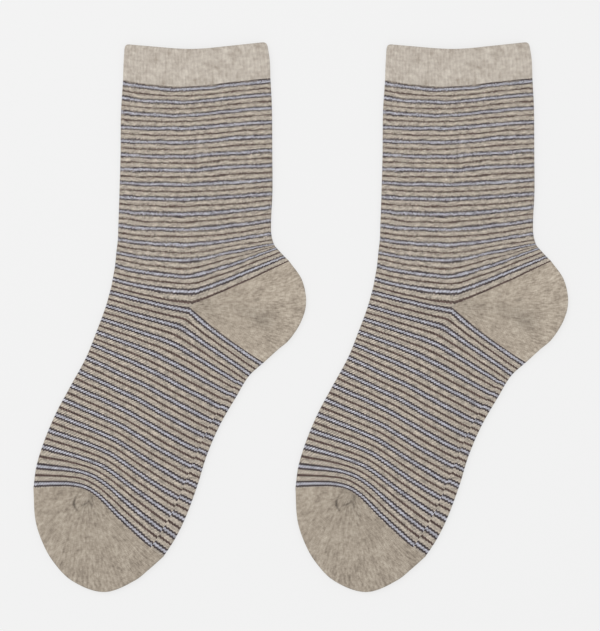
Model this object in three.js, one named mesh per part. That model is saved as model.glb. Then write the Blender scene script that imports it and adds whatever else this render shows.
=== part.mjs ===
// A pair of crew socks laid flat on a table, heels to the right and toes to the lower left.
// Millimetres, +Z up, the table at z = 0, the origin on the table under the middle of the pair.
import * as THREE from "three";

// Cloth
const WALL = 1.1;
const FOLD_RADIUS = 1.45;
const MIDDLE_HEIGHT = 3.9;
const SEAM_GAP = 0.3;
const CROWN_POWER = 2.2;

// Turned and doubled welt
const WELT_WALL = 1.6;
const WELT_FOLD_RADIUS = 1.9;
const WELT_MIDDLE_HEIGHT = 4.4;
const WELT_NOSE = 0.9;
const WELT_NOSE_SHARE = 0.35;
const RIBS_PER_HALF = 22.5;
const RIB_HEIGHT = 0.3;

// From a point on the left sock to the same point on the right sock
const PAIR_SPACING = 157.05;

// Courses, as seen from above on one sock: the instep edge, the middle and the heel or sole edge.
// "at" counts the stripes down from the welt, "bow" is the rise of the front and back half chords.
const WELT = [
  { at: 0, front: [-26.7, 163.5], middle: [13.5, 160.5], back: [58.5, 164.8], bow: [0, 0] },
  { at: 0.5, front: [-27.4, 152.7], middle: [14.4, 149.5], back: [60.2, 154.1], bow: [-0.4, 0.2] },
  { at: 1, front: [-27.8, 141.9], middle: [15.3, 138.3], back: [60.6, 143.1], bow: [-1.0, 0.4] },
];
const LEG = [
  { at: -0.2, front: [-27.8, 141.9], middle: [15.3, 138.3], back: [60.6, 143.1], bow: [-1.0, 0.4] },
  { at: 2, front: [-29.0, 122.9], middle: [15.9, 121.4], back: [61.5, 125.5], bow: [-0.8, 0.4] },
  { at: 5, front: [-29.3, 97.2], middle: [15.9, 96.7], back: [61.7, 99.6], bow: [-0.4, 0.5] },
  { at: 8, front: [-30.0, 72.2], middle: [15.9, 70.9], back: [61.8, 74.0], bow: [-0.5, -0.1] },
  { at: 10, front: [-30.6, 54.9], middle: [15.8, 52.8], back: [61.0, 57.9], bow: [-0.9, -0.2] },
  { at: 11, front: [-30.9, 46.6], middle: [15.3, 43.6], back: [61.1, 49.8], bow: [-1.0, -0.1] },
  { at: 12, front: [-31.8, 38.8], middle: [15.0, 34.4], back: [62.7, 43.7], bow: [-1.3, 0.4] },
  { at: 13, front: [-32.6, 30.7], middle: [14.7, 25.0], back: [64.4, 41.3], bow: [-1.5, -0.6] },
  { at: 14, front: [-34.0, 22.6], middle: [14.1, 15.2], back: [68.9, 36.4], bow: [-1.4, -0.7] },
  { at: 14.55, front: [-34.8, 18.3], middle: [14.0, 7.7], back: [71.8, 33.5], bow: [-1.3, -0.7] },
];
const FOOT = [
  { at: 14.82, front: [-35.3, 16.4], middle: [12.8, 5.3], back: [56.7, -27.2], bow: [-0.7, -1.2] },
  { at: 16, front: [-38.0, 6.7], middle: [6.6, -6.5], back: [48.4, -34.6], bow: [-0.2, 0.0] },
  { at: 18, front: [-43.8, -9.0], middle: [-3.8, -24.8], back: [39.9, -48.2], bow: [0.4, -0.1] },
  { at: 20, front: [-50.0, -24.4], middle: [-13.5, -41.7], back: [30.3, -64.8], bow: [0.0, -0.4] },
  { at: 22, front: [-59.1, -41.1], middle: [-22.9, -58.1], back: [22.5, -82.8], bow: [0.2, -0.7] },
  { at: 24, front: [-68.5, -58.7], middle: [-32.3, -73.8], back: [16.4, -102.3], bow: [0.1, -1.0] },
  { at: 26, front: [-76.4, -78.1], middle: [-39.9, -89.5], back: [8.7, -122.5], bow: [0.4, -1.1] },
  { at: 27, front: [-79.8, -89.8], middle: [-44.7, -96.1], back: [3.4, -133.0], bow: [1.0, -1.0] },
  { at: 28.2, front: [-81.5, -102.7], middle: [-48.3, -104.5], back: [-3.6, -143.7], bow: [1.0, -1.8] },
];

// Outlines of the turned pockets, one row per ray of the fan, "at" runs from the first edge to the last.
const HEEL_OUTLINE = [
  { at: 0, edge: [71.8, 33.5] },
  { at: 0.19, edge: [79.5, 22.2] },
  { at: 0.34, edge: [82.0, 10.5] },
  { at: 0.54, edge: [79.4, -1.8] },
  { at: 0.73, edge: [71.9, -13.7] },
  { at: 0.86, edge: [65.2, -19.5] },
  { at: 1, edge: [56.7, -27.2] },
];
const TOE_OUTLINE = [
  { at: 0, edge: [-81.5, -102.7] },
  { at: 0.14, edge: [-80.3, -121.7] },
  { at: 0.24, edge: [-76.7, -133.6] },
  { at: 0.35, edge: [-70.3, -145.7] },
  { at: 0.47, edge: [-59.0, -157.7] },
  { at: 0.62, edge: [-39.5, -164.9] },
  { at: 0.78, edge: [-20.2, -157.7] },
  { at: 0.87, edge: [-12.3, -151.4] },
  { at: 1, edge: [-3.6, -143.7] },
];

// Where the mesh has its rows, rays and columns
const LEG_ROWS = [-0.2, 1.5, 3.5, 5.5, 7.5, 9, 10, 11, 12, 13, 14, 14.55];
const FOOT_ROWS = [14.82, 15.5, 16, 17, 18, 19, 20, 21, 22, 23, 24, 25, 26, 27, 28.2];
const HALF_STEPS = [0, 0.3, 0.6, 0.85, 1];
const FOLD_STEPS = [0.5, 1];
const HEEL_RAYS = 10;
const TOE_RAYS = 18;

const PLAIN = { wall: WALL, fold: FOLD_RADIUS, middle: MIDDLE_HEIGHT };
const WELTED = { wall: WELT_WALL, fold: WELT_FOLD_RADIUS, middle: WELT_MIDDLE_HEIGHT };

const point = ([x, y]) => new THREE.Vector2(x, y);

// A smooth value between the rows of a table, from its rows' places and values.
function smooth(places, values, at) {
  let low = 0;
  while (low < places.length - 2 && at > places[low + 1]) low += 1;
  const slope = (i) => (values[i + 1] - values[i]) / (places[i + 1] - places[i]);
  const bend = (i) => {
    if (i === 0) return slope(0);
    if (i === places.length - 1) return slope(i - 1);
    return (slope(i - 1) + slope(i)) / 2;
  };
  const span = places[low + 1] - places[low];
  const t = (at - places[low]) / span;
  const rise = values[low + 1] - values[low];
  const start = bend(low) * span;
  const end = bend(low + 1) * span;
  return values[low] + t * (start + t * (3 * rise - 2 * start - end + t * (start + end - 2 * rise)));
}

function smoothPoint(table, key, at) {
  const places = table.map((row) => row.at);
  const along = [0, 1].map((axis) => smooth(places, table.map((row) => row[key][axis]), at));
  return new THREE.Vector2(along[0], along[1]);
}

// Half a course or a ray of a pocket: from its inner end to the folded edge, bowed a little to its left.
function ray(start, end, bow, shift = new THREE.Vector2()) {
  const chord = end.clone().sub(start);
  const left = new THREE.Vector2(-chord.y, chord.x).normalize();
  return {
    length: chord.length(),
    at(distance) {
      const t = distance / chord.length();
      const off = bow * 4 * t * (1 - t);
      return start.clone().addScaledVector(chord, t).addScaledVector(left, off).add(shift);
    },
  };
}

// Both halves of a course, moved down the sock by a small shift.
function course(table, at, down = 0) {
  const middle = smoothPoint(table, "middle", at);
  const front = smoothPoint(table, "front", at);
  const back = smoothPoint(table, "back", at);
  const bow = smoothPoint(table, "bow", at);
  const sole = back.clone().sub(middle).normalize();
  const instep = front.clone().sub(middle).normalize();
  const backShift = new THREE.Vector2(sole.y, -sole.x).multiplyScalar(down);
  const frontShift = new THREE.Vector2(-instep.y, instep.x).multiplyScalar(down);
  const shift = backShift.add(frontShift).multiplyScalar(0.5);
  return { front: ray(middle, front, -bow.x, shift), back: ray(middle, back, bow.y, shift) };
}

// A place on one half of the flattened tube. "station" is the way along the cloth from the middle:
// up to 1 it crosses the layer, from 1 to 2 it turns round half of the fold. "depth" goes into the wall.
function place(half, cloth, station, depth, layer) {
  const flat = half.length - cloth.fold;
  if (station <= 1) {
    const crown = (cloth.middle - 2 * cloth.fold) * (1 - station ** CROWN_POWER);
    const height = layer > 0 ? 2 * cloth.fold + crown - depth : depth;
    const spot = half.at(station * flat);
    return new THREE.Vector3(spot.x, spot.y, height);
  }
  const angle = (station - 1) * Math.PI / 2;
  const radius = cloth.fold - depth;
  const spot = half.at(flat + radius * Math.sin(angle));
  return new THREE.Vector3(spot.x, spot.y, cloth.fold + layer * radius * Math.cos(angle));
}

// Top layer from the middle to the edge, then the bottom layer back to the middle.
function roundTheEdge(half, cloth, stations, depthAt) {
  const top = stations.map((station, i) => place(half, cloth, station, depthAt(i), 1));
  const last = stations.length - 1;
  const bottom = stations.map((station, i) => place(half, cloth, station, depthAt(i), -1));
  return [...top, ...bottom.slice(0, last).reverse()];
}

// A closed ring round the whole tube: the back half of both layers, then the front half.
function ring(line, cloth, stations, depthAt) {
  const back = roundTheEdge(line.back, cloth, stations, depthAt);
  const front = roundTheEdge(line.front, cloth, stations, depthAt);
  return [...back, ...front.reverse().slice(1, -1)];
}

// A closed wall between an outer and an inner grid of points. Cells that "kept" leaves out are holes,
// and every free edge of the cloth gets a rim.
function wall(name, material, outer, inner, closed, kept = () => true) {
  const rows = outer.length;
  const columns = outer[0].length;
  const cells = closed ? columns : columns - 1;
  const positions = [];
  const index = [];
  const known = new Map();
  const vertex = (spot) => {
    const key = [spot.x, spot.y, spot.z].map((value) => value.toFixed(4)).join(" ");
    if (!known.has(key)) {
      known.set(key, positions.length / 3);
      positions.push(spot.x, spot.y, spot.z);
    }
    return known.get(key);
  };
  const triangle = (a, b, c) => {
    if (a !== b && b !== c && c !== a) index.push(a, b, c);
  };
  const quad = (a, b, c, d) => {
    triangle(vertex(a), vertex(b), vertex(c));
    triangle(vertex(a), vertex(c), vertex(d));
  };
  const isThere = (r, c) => {
    const column = closed ? (c + columns) % columns : c;
    return r >= 0 && r < rows - 1 && column >= 0 && column < cells && kept(r, column);
  };
  for (let r = 0; r < rows - 1; r += 1) {
    for (let c = 0; c < cells; c += 1) {
      if (!isThere(r, c)) continue;
      const next = (c + 1) % columns;
      quad(outer[r][c], outer[r + 1][c], outer[r + 1][next], outer[r][next]);
      quad(inner[r][c], inner[r][next], inner[r + 1][next], inner[r + 1][c]);
      if (!isThere(r - 1, c)) quad(outer[r][c], outer[r][next], inner[r][next], inner[r][c]);
      if (!isThere(r + 1, c)) {
        quad(outer[r + 1][next], outer[r + 1][c], inner[r + 1][c], inner[r + 1][next]);
      }
      if (!isThere(r, c - 1)) quad(outer[r + 1][c], outer[r][c], inner[r][c], inner[r + 1][c]);
      if (!isThere(r, c + 1)) {
        quad(outer[r][next], outer[r + 1][next], inner[r + 1][next], inner[r][next]);
      }
    }
  }
  const geometry = new THREE.BufferGeometry();
  geometry.setAttribute("position", new THREE.Float32BufferAttribute(positions, 3));
  geometry.setIndex(index);
  geometry.computeVertexNormals();
  const mesh = new THREE.Mesh(geometry, material());
  mesh.name = name;
  return mesh;
}

const heather = () => new THREE.MeshStandardMaterial({ name: "heather_knit", color: 0xbfb4a6, roughness: 0.95 });
const striped = () => new THREE.MeshStandardMaterial({ name: "striped_knit", color: 0x968f8a, roughness: 0.95 });
const ribbed = () => new THREE.MeshStandardMaterial({ name: "ribbed_knit", color: 0xc2b8ab, roughness: 0.95 });

// Turned welt: upright ribs outside, a plain doubled wall, and a rounded nose along the top.
function cuff(side) {
  const steps = 2 * RIBS_PER_HALF;
  const top = course(WELT, 0);
  const bottom = course(WELT, 1, -SEAM_GAP / 2);
  const nose = course(WELT, 0, WELT_NOSE);
  const halfway = course(WELT, 0.5);
  const arc = top.back.length - WELT_FOLD_RADIUS + WELT_FOLD_RADIUS * Math.PI / 2;
  const flatShare = (top.back.length - WELT_FOLD_RADIUS) / arc;
  const stations = Array.from({ length: steps + 1 }, (_, i) => {
    const share = i / steps;
    return share <= flatShare ? share / flatShare : 1 + (share - flatShare) / (1 - flatShare);
  });
  const groove = (i) => (i % 2 === 0 ? 0 : RIB_HEIGHT);
  const tuck = WELT_NOSE_SHARE * WELT_WALL;
  const outer = [
    ring(top, WELTED, stations, (i) => tuck + groove(i) / 2),
    ring(nose, WELTED, stations, groove),
    ring(halfway, WELTED, stations, groove),
    ring(bottom, WELTED, stations, groove),
  ];
  const inner = [
    ring(top, WELTED, stations, () => WELT_WALL - tuck),
    ring(nose, WELTED, stations, () => WELT_WALL),
    ring(halfway, WELTED, stations, () => WELT_WALL),
    ring(bottom, WELTED, stations, () => WELT_WALL),
  ];
  return wall(`${side}_cuff`, ribbed, outer, inner, true);
}

const STATIONS = [...HALF_STEPS, ...FOLD_STEPS.map((step) => 1 + step)];

// Striped tube from the welt to the toe, open in the back half where the heel is set in.
function legAndFoot(side) {
  const lines = [
    ...LEG_ROWS.map((at) => course(LEG, at, at === LEG_ROWS[0] ? SEAM_GAP / 2 : 0)),
    ...FOOT_ROWS.map((at) => course(FOOT, at, at === FOOT_ROWS.at(-1) ? -SEAM_GAP / 2 : 0)),
  ];
  const outer = lines.map((line) => ring(line, PLAIN, STATIONS, () => 0));
  const inner = lines.map((line) => ring(line, PLAIN, STATIONS, () => WALL));
  const backColumns = 2 * (STATIONS.length - 1);
  const heelRow = LEG_ROWS.length - 1;
  const kept = (r, c) => r !== heelRow || c >= backColumns;
  return wall(`${side}_leg_and_foot`, striped, outer, inner, true, kept);
}

// A pocket: a fan of rays, each one running out over the top, round the edge and back underneath.
function pocket(name, rays) {
  const outer = rays.map((line) => roundTheEdge(line, PLAIN, STATIONS, () => 0));
  const inner = rays.map((line) => roundTheEdge(line, PLAIN, STATIONS, () => WALL));
  return wall(name, heather, outer, inner, false);
}

function heel(side) {
  const upper = LEG.at(-1);
  const lower = FOOT[0];
  const along = (a, b) => point(b).sub(point(a)).normalize();
  const upperWay = along(upper.middle, upper.back);
  const lowerWay = along(lower.middle, lower.back);
  const into = (way, turn) => new THREE.Vector2(-way.y, way.x).multiplyScalar(turn * SEAM_GAP);
  const rays = Array.from({ length: HEEL_RAYS + 1 }, (_, i) => {
    const share = i / HEEL_RAYS;
    const shift = into(upperWay, -1).lerp(into(lowerWay, 1), share);
    const start = point(upper.middle).lerp(point(lower.middle), share);
    start.addScaledVector(upperWay.clone().lerp(lowerWay, share), SEAM_GAP);
    const end = smoothPoint(HEEL_OUTLINE, "edge", share);
    const bow = THREE.MathUtils.lerp(upper.bow[1], lower.bow[1], share);
    return ray(start, end, bow, shift);
  });
  return pocket(`${side}_heel`, rays);
}

function toe(side) {
  const rim = course(FOOT, FOOT.at(-1).at, SEAM_GAP / 2);
  const start = rim.front.at(0);
  const offset = start.clone().sub(point(FOOT.at(-1).middle));
  const [frontBow, backBow] = FOOT.at(-1).bow;
  const rays = Array.from({ length: TOE_RAYS + 1 }, (_, i) => {
    const share = i / TOE_RAYS;
    const end = smoothPoint(TOE_OUTLINE, "edge", share).add(offset);
    return ray(start, end, THREE.MathUtils.lerp(-frontBow, backBow, share));
  });
  return pocket(`${side}_toe`, rays.reverse());
}

function sock(side, x) {
  const pieces = [cuff(side), legAndFoot(side), heel(side), toe(side)];
  for (const piece of pieces) piece.geometry.translate(x, 0, 0);
  return pieces;
}

const group = new THREE.Group();
group.name = "pair_of_socks";
group.add(...sock("left", -PAIR_SPACING / 2), ...sock("right", PAIR_SPACING / 2));
export default group;
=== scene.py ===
"""A pair of striped crew socks laid flat, heels to the right and toes to the lower left.

Every sock has four knitted pieces: the turned welt, the striped leg and foot, the heel pocket and
the toe pocket. Lengths are in millimetres until a mesh is finished, and in metres after that.
"""

import logging
import math
from dataclasses import dataclass, field
from enum import Enum
from typing import Callable, NamedTuple, Sequence

import bmesh
import bpy
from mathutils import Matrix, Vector, noise

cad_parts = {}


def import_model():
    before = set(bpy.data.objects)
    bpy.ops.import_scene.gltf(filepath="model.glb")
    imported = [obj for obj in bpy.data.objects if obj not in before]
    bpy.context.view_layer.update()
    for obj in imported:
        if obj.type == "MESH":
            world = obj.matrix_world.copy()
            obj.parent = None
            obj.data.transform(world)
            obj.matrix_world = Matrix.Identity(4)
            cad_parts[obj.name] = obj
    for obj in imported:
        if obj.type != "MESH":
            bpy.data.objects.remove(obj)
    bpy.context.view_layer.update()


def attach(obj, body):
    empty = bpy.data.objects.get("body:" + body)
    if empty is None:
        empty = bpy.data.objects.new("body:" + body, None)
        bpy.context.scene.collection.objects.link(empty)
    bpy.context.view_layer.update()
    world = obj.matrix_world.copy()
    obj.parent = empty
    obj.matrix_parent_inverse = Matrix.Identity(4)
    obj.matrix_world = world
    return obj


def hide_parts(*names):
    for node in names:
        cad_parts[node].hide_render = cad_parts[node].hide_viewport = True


logging.basicConfig(level=logging.INFO, format="%(name)s: %(message)s")
LOG = logging.getLogger("socks")

METRE = 0.001
PAIR_SPACING = 157.05
COURSES_PER_STRIPE = 8
COURSE_HEIGHT = 1.05
WALE_WIDTH = 2.05
QUARTER_ROUND = 46.3
# By how much the columns lie closer past the middle of the upper layer.
BACK_CLOSER = 0.27
# Where the creases start to fade out towards the fold, and over what way, both as stations.
CREASE_FADE_FROM = 0.86
CREASE_FADE_WAY = 0.3
WELD = 0.0005
SHARP_ANGLE = 0.9
# Where the dark, middle and pale fibres lie in the mottle of the heather yarn.
HEATHER_STOPS = (0.34, 0.5, 0.66)
KNIT_MAP = "knit"
# Name of the mesh attribute that holds the painted shade of the folds.
PAINTED_SHADE_ATTRIBUTE = "painted_fold_shade"

Point = tuple[float, float]
Colour = tuple[float, float, float]
Socket = bpy.types.NodeSocket


class Side(Enum):
    """The two halves of a flattened tube, each from its middle to its folded edge."""

    FRONT = "front"
    BACK = "back"


class Layer(Enum):
    """The two layers of a flattened tube; the value is the way the outside faces."""

    TOP = 1
    BOTTOM = -1


class Slot(Enum):
    """Finishes of the record."""

    RIBBED = "ribbed_knit"
    STRIPED = "striped_knit"
    HEATHER = "heather_knit"


class Course(NamedTuple):
    """One knitted course seen from above: its two edges, its middle and how its halves rise.

    The stripes count down from the welt. "bend" is how wide the turn at the middle is.
    """

    at: float
    front: Point
    middle: Point
    back: Point
    bow: Point
    bend: float


class Edge(NamedTuple):
    """A place on a pocket's outline, as a share of the way from its first ray to its last."""

    at: float
    edge: Point


WELT = (
    Course(0, (-26.7, 163.5), (13.5, 160.5), (58.5, 164.8), (0.0, 0.0), 14),
    Course(0.5, (-27.4, 152.7), (14.4, 149.5), (60.2, 154.1), (-0.4, 0.2), 14),
    Course(1, (-27.8, 141.9), (15.3, 138.3), (60.6, 143.1), (-1.0, 0.4), 14),
)
LEG = (
    Course(-0.2, (-27.8, 141.9), (15.3, 138.3), (60.6, 143.1), (-1.0, 0.4), 14),
    Course(2, (-29.0, 122.9), (15.9, 121.4), (61.5, 125.5), (-0.8, 0.4), 14),
    Course(5, (-29.3, 97.2), (15.9, 96.7), (61.7, 99.6), (-0.4, 0.5), 14),
    Course(8, (-30.0, 72.2), (15.9, 70.9), (61.8, 74.0), (-0.5, -0.1), 14),
    Course(10, (-30.6, 54.9), (15.8, 52.8), (61.0, 57.9), (-0.9, -0.2), 14),
    Course(11, (-30.9, 46.6), (15.3, 43.6), (61.1, 49.8), (-1.0, -0.1), 12),
    Course(12, (-31.8, 38.8), (15.0, 34.4), (62.7, 43.7), (-1.3, 0.4), 10),
    Course(13, (-32.6, 30.7), (14.7, 25.0), (64.4, 41.3), (-1.5, -0.6), 7),
    Course(14, (-34.0, 22.6), (14.1, 15.2), (68.9, 36.4), (-1.4, -0.7), 4),
    Course(14.55, (-34.8, 18.3), (14.0, 7.7), (71.8, 33.5), (-1.3, -0.7), 0.5),
)
FOOT = (
    Course(14.82, (-35.3, 16.4), (12.8, 5.3), (56.7, -27.2), (-0.7, -1.2), 0.5),
    Course(16, (-38.0, 6.7), (6.6, -6.5), (48.4, -34.6), (-0.2, 0.0), 5),
    Course(18, (-43.8, -9.0), (-3.8, -24.8), (39.9, -48.2), (0.4, -0.1), 10),
    Course(20, (-50.0, -24.4), (-13.5, -41.7), (30.3, -64.8), (0.0, -0.4), 10),
    Course(22, (-59.1, -41.1), (-22.9, -58.1), (22.5, -82.8), (0.2, -0.7), 12),
    Course(24, (-68.5, -58.7), (-32.3, -73.8), (16.4, -102.3), (0.1, -1.0), 13),
    Course(26, (-76.4, -78.1), (-39.9, -89.5), (8.7, -122.5), (0.4, -1.1), 13),
    Course(27, (-79.8, -89.8), (-44.7, -96.1), (3.4, -133.0), (1.0, -1.0), 12),
    Course(28.2, (-81.5, -102.7), (-48.3, -104.5), (-3.6, -143.7), (1.0, -1.8), 10),
)
HEEL_OUTLINE = (
    Edge(0, (71.8, 33.5)),
    Edge(0.19, (79.5, 22.2)),
    Edge(0.34, (82.0, 10.5)),
    Edge(0.54, (79.4, -1.8)),
    Edge(0.73, (71.9, -13.7)),
    Edge(0.86, (65.2, -19.5)),
    Edge(1, (56.7, -27.2)),
)
TOE_OUTLINE = (
    Edge(0, (-81.5, -102.7)),
    Edge(0.14, (-80.3, -121.7)),
    Edge(0.24, (-76.7, -133.6)),
    Edge(0.35, (-70.3, -145.7)),
    Edge(0.47, (-59.0, -157.7)),
    Edge(0.62, (-39.5, -164.9)),
    Edge(0.78, (-20.2, -157.7)),
    Edge(0.87, (-12.3, -151.4)),
    Edge(1, (-3.6, -143.7)),
)


def between(places: Sequence[float], values: Sequence[float], at: float) -> float:
    """Reads a smooth value between the rows of a table.

    Args:
        places: Where the rows are, rising.
        values: The value in each row.
        at: The place to read.

    Returns:
        The value there.
    """
    last = len(places) - 1
    low = 0
    while low < last - 1 and at > places[low + 1]:
        low += 1

    def slope(i: int) -> float:
        """Slope of the stretch after row i."""
        return (values[i + 1] - values[i]) / (places[i + 1] - places[i])

    def lean(i: int) -> float:
        """Slope through row i."""
        if i == 0:
            return slope(0)
        return slope(i - 1) if i == last else (slope(i - 1) + slope(i)) / 2

    span = places[low + 1] - places[low]
    t = (at - places[low]) / span
    rise = values[low + 1] - values[low]
    start, end = lean(low) * span, lean(low + 1) * span
    return values[low] + t * (start + t * (3 * rise - 2 * start - end + t * (start + end - 2 * rise)))


def read_point(rows: Sequence[NamedTuple], key: str, at: float) -> Vector:
    """Reads a smooth two-number value between the rows of a table.

    Args:
        rows: Rows of courses or edges.
        key: The name of the column.
        at: The place to read.

    Returns:
        The value as a flat vector.
    """
    places = [row.at for row in rows]
    return Vector([between(places, [getattr(row, key)[axis] for row in rows], at) for axis in (0, 1)])


@dataclass
class Half:
    """Half a course or a ray of a pocket, from its inner end to the folded edge.

    "bow" moves its middle to the left of its way, "bend" and "inside" round off its inner end, and
    "pinch" takes a little off its outer end.
    """

    start: Vector
    end: Vector
    bow: float = 0.0
    bend: float = 0.0
    inside: Vector = field(default_factory=lambda: Vector((0.0, 0.0)))
    pinch: float = 0.0
    level: float = 0.0

    def __post_init__(self) -> None:
        """Works out the length and the directions once."""
        chord = self.end - self.start
        self.full = chord.length
        self.length = self.full - self.pinch
        self.way = chord / self.full
        self.left = Vector((-self.way.y, self.way.x))

    def spot(self, distance: float) -> Vector:
        """Gives the place at a distance from the inner end.

        Args:
            distance: The way out along the half.

        Returns:
            The place as seen from above.
        """
        t = distance / self.full
        place = self.start + self.way * distance + self.left * (self.bow * 4 * t * (1 - t))
        turn = (1 - distance / self.bend) ** 2 if distance < self.bend else 0.0
        return place + self.inside * (turn - self.level * (1 - t))


@dataclass
class Line:
    """A whole course: its front half and its back half."""

    front: Half
    back: Half

    def half(self, side: Side) -> Half:
        """Gives the half on one side."""
        return self.front if side is Side.FRONT else self.back


def course_line(rows: Sequence[Course], at: float, down: float = 0.0, pinch: float = 0.0) -> Line:
    """Draws the course at a place in a table.

    Args:
        rows: The table of courses.
        at: The stripe, or the share of the welt.
        down: A small shift towards the toe.
        pinch: What a rounded corner takes off both ends.

    Returns:
        The course.
    """
    middle, front, back, bow = (read_point(rows, key, at) for key in ("middle", "front", "back", "bow"))
    bend = between([row.at for row in rows], [row.bend for row in rows], at)
    instep, sole = (front - middle).normalized(), (back - middle).normalized()
    inside = (instep + sole) * (bend / 4)
    middle = middle - inside
    shift = (Vector((sole.y, -sole.x)) + Vector((-instep.y, instep.x))) * (down / 2)
    return Line(
        Half(middle + shift, front + shift, -bow.x, bend, inside, pinch),
        Half(middle + shift, back + shift, bow.y, bend, inside, pinch),
    )


@dataclass(frozen=True)
class Cloth:
    """Thickness of a knitted tube that lies flat."""

    wall: float
    fold: float
    middle: float
    crown: float = 2.2

    def arc(self, half: Half, along: float) -> float:
        """Way along the cloth from the middle to a station, in millimetres."""
        flat = half.length - self.fold
        return along * flat if along <= 1 else flat + (along - 1) * self.fold * math.pi / 2

    def place(self, half: Half, layer: Layer, along: float, depth: float) -> Vector:
        """Gives a place in the wall.

        Args:
            half: The half course or ray.
            layer: The top or the bottom layer.
            along: 0 is the middle, 1 the start of the fold and 2 the outermost edge.
            depth: How deep in the wall, from its outside.

        Returns:
            The place, before any crease.
        """
        flat = half.length - self.fold
        if along <= 1:
            crown = (self.middle - 2 * self.fold) * (1 - along**self.crown)
            height = 2 * self.fold + crown - depth if layer is Layer.TOP else depth
            return half.spot(along * flat).to_3d() + Vector((0, 0, height))
        angle = (along - 1) * math.pi / 2
        radius = self.fold - depth
        height = self.fold + layer.value * radius * math.cos(angle)
        return half.spot(flat + radius * math.sin(angle)).to_3d() + Vector((0, 0, height))


PLAIN_CLOTH = Cloth(wall=1.0, fold=1.45, middle=3.9)
WELT_CLOTH = Cloth(wall=1.6, fold=1.9, middle=4.4)


@dataclass(frozen=True)
class Crease:
    """A soft trough or ridge in the cloth, tapered at both ends."""

    start: Point
    end: Point
    width: float
    height: float
    sway: float = 0.0

    def rise(self, x: float, y: float) -> float:
        """Height that the crease adds at a place, in millimetres."""
        a, b = Vector(self.start), Vector(self.end)
        way = b - a
        t = ((x - a.x) * way.x + (y - a.y) * way.y) / way.length_squared
        if t <= -0.1 or t >= 1.1:
            return 0.0
        side = ((x - a.x) * -way.y + (y - a.y) * way.x) / way.length
        side -= self.sway * math.sin(math.pi * t)
        share = math.sin(math.pi * (t + 0.1) / 1.2)
        return self.height * share * math.exp(-((side / self.width) ** 2))


TOP_CREASES = (
    Crease((15, 8), (-22, 14), 5.0, 0.30, 2.0),
    Crease((13, 6), (-26, -4), 5.5, -0.32, -2.0),
    Crease((63, 44), (40, 36), 3.2, -0.35, 1.5),
    Crease((63, 48), (34, 50), 4.0, 0.25, -1.0),
    Crease((20, 20), (52, 34), 4.5, 0.22, 1.0),
    Crease((4, -14), (-34, -78), 7.0, 0.28, 3.0),
    Crease((34, -40), (-4, -96), 8.0, -0.22, -3.0),
    Crease((-44, -20), (-62, -60), 6.0, 0.20, 1.5),
    Crease((-20, 128), (30, 126), 6.0, -0.16, -1.0),
    Crease((-24, 84), (20, 90), 7.0, 0.14, 2.0),
    Crease((10, 62), (54, 66), 7.0, -0.14, -2.0),
    Crease((-72, -96), (-56, -108), 4.0, -0.25, 1.0),
    Crease((-30, -112), (-12, -138), 5.0, 0.20, -1.0),
    Crease((-48.0, -105.6), (-42.6, -109.0), 1.1, -0.55),
    Crease((50.2, 9.2), (55.0, 10.6), 0.9, -0.95, 0.3),
    Crease((39.4, 12.4), (42.6, 14.2), 1.0, -0.50),
    Crease((49.6, 4.2), (53.6, 5.2), 1.1, -0.45),
    Crease((36.0, 8.0), (66.0, -8.0), 5.0, -0.45),
)
TOE_MARKS = (
    Crease((-55.0, -106.6), (-54.2, -117.0), 0.75, -1.25, -2.4),
    Crease((-53.4, -113.2), (-47.6, -110.2), 0.60, -0.95, -0.5),
    Crease((-48.1, -110.2), (-46.0, -115.0), 0.65, -0.90, 0.5),
    Crease((-47.4, -106.2), (-45.2, -110.2), 0.75, -0.85, 0.2),
    Crease((-45.6, -115.8), (-42.6, -121.6), 0.60, -0.50, 0.3),
    Crease((-55.6, -104.8), (-52.6, -105.4), 0.60, -0.50),
)
# Creases of the lower layer: the table presses them flat, so they are drawn only as painted shade, not as
# relief.
UNDER_CREASES = (
    Crease((14, 8), (-26, 2), 3.5, 0.35, 2.0),
    Crease((60, 46), (30, 40), 3.0, 0.40, -1.5),
    Crease((52, 30), (16, 14), 3.0, 0.30, 1.0),
    Crease((-12, -36), (-38, -84), 4.0, 0.30, 2.0),
    Crease((28, -58), (2, -104), 4.0, 0.25, -2.0),
    Crease((-18, 108), (26, 112), 4.0, 0.22, 1.5),
    Crease((-66, -118), (-40, -142), 3.5, 0.28, 1.0),
)
HEEL_HOLLOW = Vector((57.8, -2.0))
TOE_PUCKER = Vector((-51.4, -110.8))
PUCKER_REACH = 32
KNOB_HEIGHT, KNOB_WIDTH = 0.35, 3.6
PLEATS, PLEAT_HEIGHT, PLEAT_TURN = 15, 0.13, 0.12
PLEAT_RING, PLEAT_SPREAD, PLEAT_WAY = 15, 7, 1.35
HOLLOW_DEPTH, HOLLOW_WIDTH = 0.95, 5.6
RIM_HEIGHT, RIM_RING, RIM_WIDTH = 0.16, 11, 4.5
# Strength of the painted shade in the folds, around the dent in the heel and in the pressed-flat folds of
# the lower layer, and how far it spreads round the heel.
PAINTED_FOLD_DARKNESS, FOLD_POWER = 0.78, 1.4
PAINTED_HEEL_DARKNESS, PAINTED_HEEL_SPREAD = 0.30, 6.5
PAINTED_UNDER_DARKNESS = 1.3
# Slow waves of the whole layer: height and width in millimetres, and the seed.
SWELLS = ((0.16, 26, 3.1), (0.07, 9, 7.7))


def pucker(x: float, y: float) -> float:
    """Height of the pucker where the toe's courses meet, with the pleats that run down from it."""
    away = Vector((x, y)) - TOE_PUCKER
    radius = away.length
    if radius > PUCKER_REACH:
        return 0.0
    angle = math.atan2(away.y, away.x)
    knob = KNOB_HEIGHT * math.exp(-((radius / KNOB_WIDTH) ** 2))
    ring = math.exp(-(((radius - PLEAT_RING) / PLEAT_SPREAD) ** 2))
    pleats = PLEAT_HEIGHT * math.sin(PLEATS * angle + PLEAT_TURN * radius) * ring
    below = max(0.0, math.cos(angle + PLEAT_WAY))
    return knob + pleats * below + sum(mark.rise(x, y) for mark in TOE_MARKS)


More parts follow.
